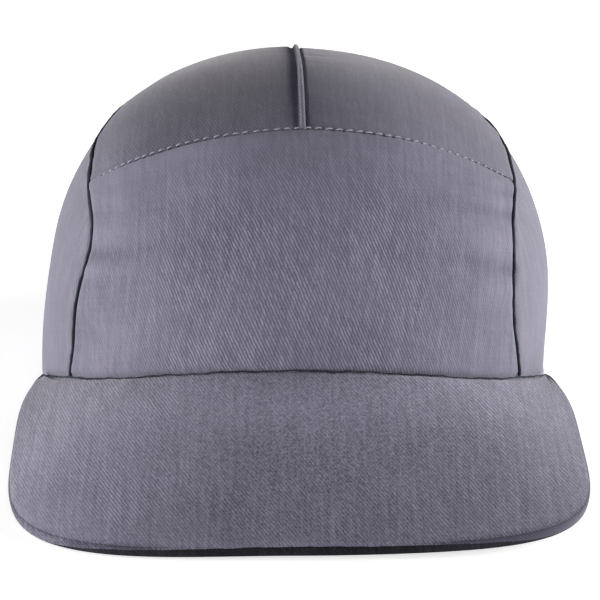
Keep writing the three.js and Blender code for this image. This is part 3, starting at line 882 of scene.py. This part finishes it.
def tube(points, outward, radius, sides=10):
    """Round cord along points, with closed ends."""
    ahead = unit(np.gradient(points, axis=0))
    level = unit(np.cross(ahead, outward))
    out = np.cross(level, ahead)
    angle = 2 * np.pi * np.arange(sides) / sides
    ring = level[:, None] * np.cos(angle)[None, :, None] + out[:, None] * np.sin(angle)[None, :, None]
    radius = np.broadcast_to(radius, (len(points),))
    places = points[:, None] + ring * radius[:, None, None]
    k = np.arange(len(points) * sides).reshape(-1, sides)
    following = np.roll(k, -1, 1)
    faces = np.stack([k[:-1], following[:-1], following[1:], k[1:]], -1).reshape(-1, 4).tolist()
    faces.append(k[0][::-1].tolist())
    faces.append(k[-1].tolist())
    round_it = np.broadcast_to(angle / (2 * np.pi), k.shape)
    along = np.broadcast_to(running(points[:, None], 0), k.shape)
    uvs = np.stack([round_it, along * CLOTH_SCALE], -1)
    return places.reshape(-1, 3), faces, uvs.reshape(-1, 2)


# Cord in the side seams. Distances run along it from the brim.
PIPING_RADIUS = 0.58 * MM
PIPING_SINK = 0.12 * MM
PIPING_POINTS = 420
SWELLS_AT = 70 * MM
THICKEST_AT = 86 * MM
THICKEST_REACH = 13 * MM
SWELL_SOFTNESS = 4 * MM
PROUD_AT = 107 * MM
PROUD_REACH = 8 * MM
PROUD_LIFT = 0.62 * MM


def piping(side):
    """Cord of one side seam. The right one stands proud of the cloth for a stretch of the crown's outline."""
    points = side_line(0, SEAM_END_ROW, np.linspace(0.004, 0.996, PIPING_POINTS))
    length = running(points[:, None], 0)[:, 0]
    rng = np.random.default_rng(200 + side)
    wave = 0.12 * MM * wavy(length, 9 * MM, rng.uniform(0, 6))
    wave += 0.08 * MM * wavy(length, 4.3 * MM, rng.uniform(0, 6))
    points = points + inward(points, points.mean(0)) * wave[:, None]
    swell = 1 / (1 + np.exp(-(length - SWELLS_AT) / SWELL_SOFTNESS))
    swell += 1.6 * bell(length - THICKEST_AT, THICKEST_REACH)
    radius = PIPING_RADIUS * (1 + 0.2 * swell + 0.06 * wavy(length, 6 * MM))
    outward = crown_normal(points)
    sink = PIPING_SINK
    if side > 0:
        sink = sink - PROUD_LIFT * bell(length - PROUD_AT, PROUD_REACH)
    else:
        points, outward = points * MIRROR, outward * MIRROR
    name = side_name("side_piping", side)
    return make_piece(name + "_cord", "piping_cord", *tube(on_face(points, sink), outward, radius), name)


SEAM_CORD_RADIUS = 0.24 * MM
SEAM_CORD_POINTS = 520


def brim_seam_shadow():
    """Thin dark wavy cord between the crown and the brim: the under cloth's edge in the seam, which also
    paints the seam's shadow.
    """
    azimuth = np.linspace(-BRIM_END_AZIMUTH, BRIM_END_AZIMUTH, SEAM_CORD_POINTS)
    length = running(rim_point(azimuth)[:, None], 0)[:, 0]
    wave = 0.12 * MM * wavy(length, 23 * MM) + 0.09 * MM * wavy(length, 8.5 * MM, 1)
    wave += 0.05 * MM * wavy(length, 3.4 * MM)
    points = rim_point(azimuth, 0.1 * MM - hem_drop(azimuth) + wave, 0.25 * MM)
    radius = SEAM_CORD_RADIUS * (1 + 0.2 * wavy(length, 31 * MM) + 0.16 * wavy(length, 5 * MM))
    radius *= 0.4 + 0.6 * smooth_step((BRIM_END_AZIMUTH - np.abs(azimuth)) / 14)
    return make_piece("brim_seam_shadow_edge", "under_cloth", *tube(points, crown_normal(points), radius))


THREAD_RADIUS = 0.27 * MM
THREAD_POINTS = 9
THREAD_SIDES = 7
STITCH_LENGTH = 2.5 * MM
STITCH_PITCH = 3.3 * MM
HOLE_LENGTH = 1.05 * MM
HOLE_RADIUS = 0.2 * MM


def stitches(name, line, outward, slot, length=STITCH_LENGTH, radius=THREAD_RADIUS, slant=0.1):
    """Row of short threads that rise out of the cloth and go down into it again."""
    along = running(line[:, None], 0)[:, 0]
    rng = np.random.default_rng(len(line))
    share = np.linspace(-1, 1, THREAD_POINTS)
    lift = radius * (0.9 - 2.4 * np.abs(share) ** 3)
    thick = radius * (1 - 0.35 * np.abs(share) ** 4)
    places, faces, uvs, count = [], [], [], 0
    for start in np.arange(0.6 * STITCH_PITCH, along[-1] - STITCH_PITCH, STITCH_PITCH):
        at = start + rng.uniform(-0.06, 0.06) * STITCH_PITCH + length * np.linspace(0, 1, THREAD_POINTS)
        points, out = (
            np.stack([np.interp(at, along, rows[:, i]) for i in range(3)], -1) for rows in (line, outward)
        )
        out = unit(out)
        level = unit(np.cross(np.gradient(points, axis=0), out))
        sideways = share * slant * length * rng.uniform(0.6, 1.3)
        points = points + out * lift[:, None] + level * sideways[:, None]
        p, f, t = tube(points, out, thick, THREAD_SIDES)
        places.append(p)
        faces.extend([[i + count for i in face] for face in f])
        uvs.append(t)
        count += len(p)
    return make_piece(name, slot, np.concatenate(places), faces, np.concatenate(uvs))


# Front seam's row: how far its threads lie above the seam, and how deep they sink at its two ends.
ROW_ABOVE_SEAM = 0.3 * MM
HOLES_BELOW_SEAM = 0.05 * MM
ROW_SLANT = -0.14
RIGHT_SINK = 0.54 * MM
LEFT_SINK = 0.46 * MM


def front_seam_stitches():
    """One row along the seam, from side seam to side seam, with dark dashes of painted shadow where its
    threads go into the cloth.
    """
    half = front_line(np.linspace(0, 0.95, 160))
    line = np.concatenate([half[::-1] * MIRROR, half[1:]])
    up = inward(line, onto_crown(np.array([0, -0.06, 0.14])))
    outward = crown_normal(line)
    x = line[:, 0]
    sunk = RIGHT_SINK * smooth_step((x - 20 * MM) / (28 * MM))
    sunk += LEFT_SINK * smooth_step((-58 * MM - x) / (7 * MM))
    row = on_face(line + up * ROW_ABOVE_SEAM, sunk - 0.14 * MM)
    threads = stitches("front_seam_stitches", row, outward, "crown_twill", slant=ROW_SLANT)
    # Dark dashes below the row, at the needle holes: painted shadow of the holes and of the seam line.
    started = np.searchsorted(running(line[:, None], 0)[:, 0], STITCH_LENGTH * 1.08)
    low = on_face((line - up * HOLES_BELOW_SEAM)[started:], 0.45 * sunk[started:] - 0.02 * MM)
    holes = stitches("front_seam_hole_shadows", low, outward[started:], "crown_twill", HOLE_LENGTH, HOLE_RADIUS, 0.0)
    return threads, holes


SIDE_HEM = 5 * MM
ARCH_HEM = 3.2 * MM


def hem_stitches():
    """Rows along the level rim of the side panels and round the arch behind."""
    rim = np.linspace(BRIM_END_AZIMUTH + 20, SIDE_SEAM[-1][0] - 1.5, 160)
    side = rim_point(rim, SIDE_HEM)
    arch = rear_border(np.linspace(0, 0.88, 140))
    arch = onto_crown(arch - inward(arch, crown_at(180.0, 12 * MM)) * ARCH_HEM)
    rows = []
    for name, line in (("side_hem_stitches", side), ("arch_hem_stitches", arch)):
        for way in (1, -1):
            points = line if way > 0 else line * MIRROR
            row = on_face(points, -0.1 * MM)
            rows.append(stitches(side_name(name, way), row, crown_normal(points), "crown_twill"))
    return rows


STRAP_HEM = 2.2 * MM
STRAP_EDGE_TURN = 0.6 * MM
STRAP_EDGE_REACH = 0.55 * MM


def strap():
    """Folded strap across the arch, inside the top panels, with a row of stitches along each edge."""
    half = ARCH_HALF_WIDTH + STRAP_OVERLAP
    across = np.linspace(half, -half, 91)
    azimuth = back_azimuth(np.abs(across))
    shares = graded(1.2 * MM, STRAP_HEIGHT, (0.2, 0.5, 0.9, 1.4))
    from_edge = np.minimum(shares, 1 - shares) * STRAP_HEIGHT
    edge_turn = STRAP_EDGE_TURN * bell(from_edge, STRAP_EDGE_REACH)

    def strap_line(lift, depth, across_depth):
        """Level line of the strap. Its width is that of another depth, so that its ends stay upright."""
        line = crown_at(azimuth, lift, depth)
        line[:, 0] = np.sign(across) * np.abs(crown_at(azimuth, lift, across_depth)[:, 0])
        return settled(line)

    def face(depth, sign):
        rows = zip(shares * STRAP_HEIGHT, edge_turn)
        return np.array([strap_line(lift, depth + sign * turn, depth) for lift, turn in rows])

    outer, inner = face(STRAP_DEPTH, 1), face(STRAP_DEPTH + STRAP_THICKNESS, -1)
    cloth = cloth_coordinates(outer, len(across) // 2)
    piece = closed_skin("back_strap_cloth", "strap_twill", "back_strap", outer, inner, cloth)
    rows = []
    for tag, lift in (("low", STRAP_HEM), ("high", STRAP_HEIGHT - STRAP_HEM)):
        line = crown_at(azimuth, lift, STRAP_DEPTH - 0.08 * MM)
        line[:, 0] = np.sign(across) * np.abs(line[:, 0])
        rows.append(stitches(f"strap_stitches_{tag}", settled(line), crown_normal(line), "strap_twill"))
    return piece, rows


class Nodes:
    """Short hand for building a material's nodes."""

    def __init__(self, name):
        self.material = bpy.data.materials.new(name)
        self.material.use_nodes = True
        self.tree = self.material.node_tree
        self.shader = self.tree.nodes["Principled BSDF"]

    def add(self, kind, **inputs):
        node = self.tree.nodes.new(kind)
        for key, value in inputs.items():
            self.put(node.inputs[key.replace("_", " ")], value)
        return node

    def put(self, socket, value):
        if isinstance(value, bpy.types.NodeSocket):
            self.tree.links.new(value, socket)
        else:
            socket.default_value = value

    def math(self, operation, a, b=0.0):
        node = self.tree.nodes.new("ShaderNodeMath")
        node.operation = operation
        self.put(node.inputs[0], a)
        self.put(node.inputs[1], b)
        return node.outputs[0]

    def plus(self, first, *others):
        for other in others:
            first = self.math("ADD", first, other)
        return first

    def minus(self, a, b):
        return self.math("SUBTRACT", a, b)

    def times(self, a, b):
        return self.math("MULTIPLY", a, b)

    def over(self, a, b):
        return self.math("DIVIDE", a, b)

    def swing(self, pattern, middle, amount):
        """A pattern moved down by its middle value, times an amount."""
        return self.times(self.minus(pattern, middle), amount)

    def arch(self, value):
        """Half wave between one whole number and the next."""
        return self.math("SINE", self.times(self.math("FRACT", value), math.pi))

    def noise(self, vector, scale, detail=2.0, roughness=0.5):
        node = self.add("ShaderNodeTexNoise", Vector=vector, Scale=scale, Detail=detail, Roughness=roughness)
        return node.outputs["Fac"]

    def random_of(self, x, y):
        """Random value from 0 to 1 of the cell with two whole numbers."""
        cell = self.add("ShaderNodeCombineXYZ", X=x, Y=y)
        return self.add("ShaderNodeTexWhiteNoise", Vector=cell.outputs["Vector"]).outputs["Value"]

    def ramp(self, value, low, high):
        return self.add("ShaderNodeMapRange", Value=value, From_Min=low, From_Max=high).outputs["Result"]

    def mix(self, factor, a, b):
        node = self.tree.nodes.new("ShaderNodeMix")
        node.data_type = "RGBA"
        self.put(node.inputs["Factor"], factor)
        self.put(node.inputs["A"], a)
        self.put(node.inputs["B"], b)
        return node.outputs["Result"]

    def soft_spot(self, u, v, spot):
        """Amount that fades out round a place in the cloth."""
        across, up, reach_across, reach_up, amount = spot
        parts = []
        for axis, place, reach in ((u, across, reach_across), (v, up, reach_up)):
            offset = self.math("ABSOLUTE", self.over(self.minus(axis, place), reach))
            parts.append(self.math("POWER", offset, 2.0))
        return self.times(self.math("EXPONENT", self.times(self.plus(*parts), -1.0)), amount)

    def scaled(self, vector, x, y):
        return self.add("ShaderNodeMapping", Vector=vector, Scale=(x, y, 1)).outputs["Vector"]

    def cloth(self):
        """The place in the cloth, and its two coordinates by themselves."""
        uv = self.tree.nodes.new("ShaderNodeUVMap")
        uv.uv_map = "cloth"
        place = uv.outputs["UV"]
        split = self.add("ShaderNodeSeparateXYZ", Vector=place)
        return place, split.outputs["X"], split.outputs["Y"]

    def relief(self, height, strength, distance):
        bump = self.add("ShaderNodeBump", Height=height, Strength=strength, Distance=distance)
        self.put(self.shader.inputs["Normal"], bump.outputs["Normal"])

    def surface(self, **inputs):
        for key, value in inputs.items():
            self.put(self.shader.inputs[key.replace("_", " ")], value)


TWILL_ANGLE = math.radians(62)
BRIM_TWILL_ANGLE = math.radians(54)
TWILL_PITCH = 0.96 * MM
UNDER_PITCH = 0.8 * MM
WOBBLE = 0.8
FLOAT_LENGTH = 3.2
ROW_STEP = 0.37
CALM_STRENGTH = 0.35
GRAIN = 0.54 * MM
LIGHTEST = 1.5


def grain(n, place, u, v, wobble, near):
    """Light and dark ends of single floats, which show most near a spot."""
    size = GRAIN * CLOTH_SCALE
    level = n.math("FLOOR", n.over(n.plus(v, wobble), size))
    in_row = n.plus(n.over(n.plus(u, wobble), size), n.times(level, 0.5))
    grains = n.minus(n.random_of(n.math("FLOOR", in_row), level), 0.5)
    grains = n.plus(grains, n.swing(n.noise(place, 105.0, 2.0, 0.6), 0.5, 2.4))
    return n.times(grains, n.plus(n.times(near, 0.42), 0.22))


def twill(
    name, dark, light, pitch=TWILL_PITCH, angle=TWILL_ANGLE, contrast=1.0, slub=1.0,
    sheen=0.25, shine=0.25, calm=(), painted_light=(), grainy=None,
):
    """Twill: slanted wales of short floats, with slubs, colour drift and soft spots of painted light and
    shade.

    calm holds, for each cloth direction, the distances from its origin where the weave starts to
    blur and where it is calm. The list of soft spots holds painted light and shade, lighter or
    darker where the lamps light the cloth more or less: place, reach and amount. grainy holds such
    a spot where the wales give way to the grain of single floats. Painted shade from the mesh
    darkens the cloth.
    """
    n = Nodes(name)
    place, u, v = n.cloth()
    wale = pitch * CLOTH_SCALE
    wobble = n.swing(n.noise(place, 34.0, 3.0, 0.6), 0.5, WOBBLE * wale)
    across = n.plus(n.times(u, math.sin(angle)), n.times(v, math.cos(angle)))
    across = n.over(n.plus(across, wobble), wale)
    along = n.minus(n.times(u, math.cos(angle)), n.times(v, math.sin(angle)))
    row = n.math("FLOOR", across)
    float_place = n.plus(n.over(along, FLOAT_LENGTH * wale), n.times(row, ROW_STEP))
    one = n.random_of(row, n.math("FLOOR", float_place))
    height_of_one = n.plus(n.times(one, 0.5), n.plus(n.times(n.arch(float_place), 0.25), 0.45))
    weave = n.times(n.math("POWER", n.arch(across), 1.3), height_of_one)

    yarns = n.noise(n.scaled(place, 190.0, 5.0), 1.0, 2.0, 0.6)
    streaks = n.math("POWER", n.noise(n.scaled(place, 55.0, 4.0), 1.0, 3.0, 0.6), 2.0)
    cross_yarns = n.noise(n.scaled(place, 9.0, 150.0), 1.0, 2.0, 0.5)
    fuzz = n.noise(place, 260.0, 3.0, 0.7)
    drift = n.noise(place, 3.2, 3.0, 0.55)

    patches = n.plus(n.times(n.noise(place, 6.0, 2.0), 1.1), 0.3)
    strength = n.times(patches, contrast)
    for axis, (begins, ends) in zip((u, v), calm):
        fade = n.ramp(n.math("ABSOLUTE", axis), ends, begins)
        strength = n.times(strength, n.plus(n.times(fade, 1 - CALM_STRENGTH), CALM_STRENGTH))
    grains = 0.0
    if grainy:
        near = n.soft_spot(u, v, grainy)
        strength = n.times(strength, n.minus(1.0, near))
        grains = grain(n, place, u, v, wobble, near)

    # Painted shade from the mesh: it darkens the cloth, and lightens it where it is below 0.
    shade = n.tree.nodes.new("ShaderNodeAttribute")
    shade.attribute_name = "shade"
    value = n.plus(
        n.swing(weave, 0.5, n.times(strength, 0.95)),
        n.swing(yarns, 0.5, 0.5 * slub),
        n.swing(streaks, 0.27, 0.8 * slub),
        n.swing(cross_yarns, 0.5, 0.3 * slub),
        n.swing(fuzz, 0.5, 0.7),
        grains,
        n.swing(drift, 0.5, 0.4),
        *[n.soft_spot(u, v, spot) for spot in painted_light],
    )
    value = n.plus(n.minus(value, shade.outputs["Fac"]), 0.5)
    lightest = tuple(a + (b - a) * LIGHTEST for a, b in zip(dark, light))
    height = n.plus(n.times(n.times(weave, strength), 1.2), n.times(yarns, 0.5 * slub), n.times(fuzz, 0.5))
    n.relief(height, 0.5, 0.12 * MM)
    n.surface(
        Base_Color=n.mix(n.ramp(value, 0.0, LIGHTEST), dark, lightest),
        Roughness=n.plus(n.times(weave, -0.12), 0.92),
        Sheen_Weight=sheen,
        Sheen_Roughness=0.45,
        Sheen_Tint=(0.97, 0.95, 1.0, 1.0),
        Specular_IOR_Level=shine,
    )
    return n.material


def thread(name, dark, light, twist=140.0, shine=0.3):
    """Twisted thread or cord: slanted bands round it, and fuzz."""
    n = Nodes(name)
    place, round_it, along = n.cloth()
    turn = n.plus(n.times(round_it, 2 * math.pi), n.times(along, twist * 2 * math.pi))
    fuzz = n.noise(place, 120.0, 2.0)
    value = n.plus(n.times(n.math("SINE", turn), 0.22), fuzz)
    n.relief(value, 0.4, 0.08 * MM)
    n.surface(
        Base_Color=n.mix(n.ramp(value, 0.15, 0.9), dark, light),
        Roughness=n.plus(n.times(fuzz, 0.2), 0.7),
        Sheen_Weight=0.5 * shine,
        Specular_IOR_Level=shine,
    )
    return n.material


def linear(c):
    """Linear value of a screen value from 0 to 255."""
    return c / 255 / 12.92 if c <= 10 else ((c / 255 + 0.055) / 1.055) ** 2.4


def colour(red, green, blue):
    return linear(red), linear(green), linear(blue), 1.0


def finish_with(material, *pieces):
    for piece in pieces:
        piece.data.materials.clear()
        piece.data.materials.append(material)


# Screen colours of the dark and the light yarns.
YARNS = colour(60, 58, 73), colour(128, 126, 145)
CALM_YARNS = colour(66, 65, 78), colour(122, 120, 138)
UNDER_YARNS = colour(14, 13, 17), colour(46, 44, 52)
# The dark cords: the piping's own colour, and painted shadow on the cord between the crown and the brim.
CORD_AND_SEAM_SHADOW_YARNS = colour(24, 29, 36), colour(50, 56, 64)
THREAD_YARNS = colour(104, 102, 120), colour(164, 161, 181)
# Painted shadow: dark dashes at the needle holes of the front seam.
HOLE_SHADOW_YARNS = colour(40, 39, 47), colour(70, 69, 80)

# Soft spots of painted light and shade in the cloth, lighter or darker where the lamps light it more or less:
# place across and up, reach across and up (in tenths of a metre), amount.
FRONT_PAINTED_LIGHT = [
    (0.0, 0.15, 0.35, 0.3, 0.06),
    (0.05, 0.78, 0.35, 0.25, 0.12),
    (0.6, 0.5, 0.2, 0.35, -0.14),
    (-0.6, 0.42, 0.2, 0.2, -0.08),
    (-0.33, 0.26, 0.16, 0.3, -0.1),
]
LEFT_PAINTED_LIGHT = [(-0.5, 0.15, 0.32, 0.4, -0.42), (-0.2, 0.3, 0.25, 0.4, -0.14)]
RIGHT_PAINTED_LIGHT = [(0.68, 0.08, 0.2, 0.3, -0.2)]
BRIM_PAINTED_LIGHT = [
    (-0.6, -0.72, 0.3, 0.2, 0.4),
    (-0.72, -1.03, 0.3, 0.16, 0.46),
    (0.0, -0.52, 0.8, 0.12, 0.4),
    (0.0, -0.76, 0.5, 0.16, 0.1),
    (0.55, -0.85, 0.3, 0.25, 0.1),
    (-0.9, -0.8, 0.2, 0.3, 0.1),
    (0.7, -1.02, 0.25, 0.13, 0.14),
]
BRIM_GRAIN = (0.05, -0.62, 0.5, 0.3, 0.75)


def dress():
    """Builds every visible piece and gives it its cloth."""
    front, left_top, right_top = front_panel(), top_panel(-1), top_panel(1)
    sides = [side_panel(-1), side_panel(1)]
    brim, under_piece = brim_parts()
    cords = [piping(-1), piping(1), brim_seam_shadow()]
    seam_threads, seam_hole_shadows = front_seam_stitches()
    hem_threads = hem_stitches()
    back_strap, strap_threads = strap()

    smooth = {"contrast": 0.35, "slub": 0.6}
    calm_front = ((0.3, 0.62), (0.45, 0.75))
    calm_brim = ((0.55, 1.0), (0.85, 1.12))
    front_twill = twill("crown_twill", *YARNS, slub=0.6, contrast=0.85, calm=calm_front, painted_light=FRONT_PAINTED_LIGHT)
    finish_with(front_twill, front)
    finish_with(twill("top_left_twill", *CALM_YARNS, **smooth, painted_light=LEFT_PAINTED_LIGHT), left_top)
    finish_with(twill("top_right_twill", *CALM_YARNS, **smooth, painted_light=RIGHT_PAINTED_LIGHT), right_top)
    finish_with(twill("calm_twill", *CALM_YARNS, **smooth), *sides)
    finish_with(twill("strap_twill", *YARNS, contrast=0.7), back_strap)
    brim_twill = twill(
        "brim_twill", *YARNS, angle=BRIM_TWILL_ANGLE, contrast=0.95, slub=0.9,
        calm=calm_brim, painted_light=BRIM_PAINTED_LIGHT, grainy=BRIM_GRAIN,
    )
    finish_with(brim_twill, brim)
    under_twill = twill("under_cloth", *UNDER_YARNS, pitch=UNDER_PITCH, contrast=0.7, sheen=0.02, shine=0.06)
    finish_with(under_twill, under_piece)
    finish_with(thread("piping_cord", *CORD_AND_SEAM_SHADOW_YARNS, shine=0.06), *cords)
    finish_with(thread("seam_thread", *THREAD_YARNS, twist=260.0), seam_threads, *hem_threads, *strap_threads)
    finish_with(thread("needle_hole_shadow", *HOLE_SHADOW_YARNS), seam_hole_shadows)


def add_object(name, data):
    found = bpy.data.objects.new(name, data)
    bpy.context.scene.collection.objects.link(found)
    return found


FLOOR_HALF = 6.0
LAMP_TARGET = Vector((0, 0, 0.07))

# Softboxes: name, place, width, height, watts and colour.
LAMPS = [
    ("left_softbox", (-1.2, -0.25, 0.11), 1.3, 0.2, 25.5, (1.0, 0.975, 0.93)),
    ("right_softbox", (1.2, 0.0, 0.26), 1.3, 0.5, 29.0, (1.0, 0.975, 0.93)),
    ("front_softbox", (0.0, -1.0, 1.1), 0.9, 0.9, 3.5, (0.9, 0.95, 1.0)),
]


def stage_and_light():
    """Plain pale floor and surroundings, with a softbox on each side and a weak one in front."""
    floor = bpy.data.meshes.new("floor")
    corners = [(x * FLOOR_HALF, y * FLOOR_HALF, 0) for x, y in ((-1, -1), (1, -1), (1, 1), (-1, 1))]
    floor.from_pydata(corners, [], [(0, 1, 2, 3)])
    pale = Nodes("pale_floor")
    pale.surface(
        Base_Color=(0.86, 0.86, 0.86, 1), Roughness=0.9, Emission_Color=(1, 1, 1, 1), Emission_Strength=0.66
    )
    floor.materials.append(pale.material)
    add_object("floor", floor)
    scene = bpy.context.scene
    scene.view_settings.view_transform = "Standard"
    scene.world = bpy.data.worlds.new("studio")
    scene.world.use_nodes = True
    background = scene.world.node_tree.nodes["Background"]
    background.inputs["Color"].default_value = (1, 1, 1, 1)
    background.inputs["Strength"].default_value = 0.085
    for name, place, width, height, watts, shine in LAMPS:
        data = bpy.data.lights.new(name, "AREA")
        data.shape = "RECTANGLE"
        data.size = width
        data.size_y = height
        data.energy = watts
        data.color = shine
        lamp = add_object(name, data)
        lamp.location = place
        lamp.rotation_mode = "QUATERNION"
        lamp.rotation_quaternion = (LAMP_TARGET - Vector(place)).to_track_quat("-Z", "Y")


# Camera: what it looks at, from how far, and its angles. The focal length is in pixels of the photo.
AIM = Vector((2.3 * MM, 26.5 * MM, 26.7 * MM))
DISTANCE = 0.9
ELEVATION = math.radians(21)
AZIMUTH = math.radians(-1.0)
ROLL = math.radians(0.35)
FOCAL_PIXELS = 2582
PHOTO_PIXELS = 600
SENSOR_MM = 36


def camera():
    """The photograph's view: a long lens, a little above the cap, turned slightly to its left."""
    level = math.cos(ELEVATION)
    back = Vector((math.sin(AZIMUTH) * level, -math.cos(AZIMUTH) * level, math.sin(ELEVATION)))
    data = bpy.data.cameras.new("camera")
    data.sensor_width = SENSOR_MM
    data.lens = FOCAL_PIXELS / PHOTO_PIXELS * SENSOR_MM
    data.clip_start = 0.01
    data.clip_end = 50
    eye = add_object("camera", data)
    eye.location = AIM + back * DISTANCE
    eye.rotation_mode = "QUATERNION"
    eye.rotation_quaternion = (-back).to_track_quat("-Z", "Y") @ Quaternion((0, 0, 1), ROLL)
    bpy.context.scene.camera = eye


dress()
stage_and_light()
camera()
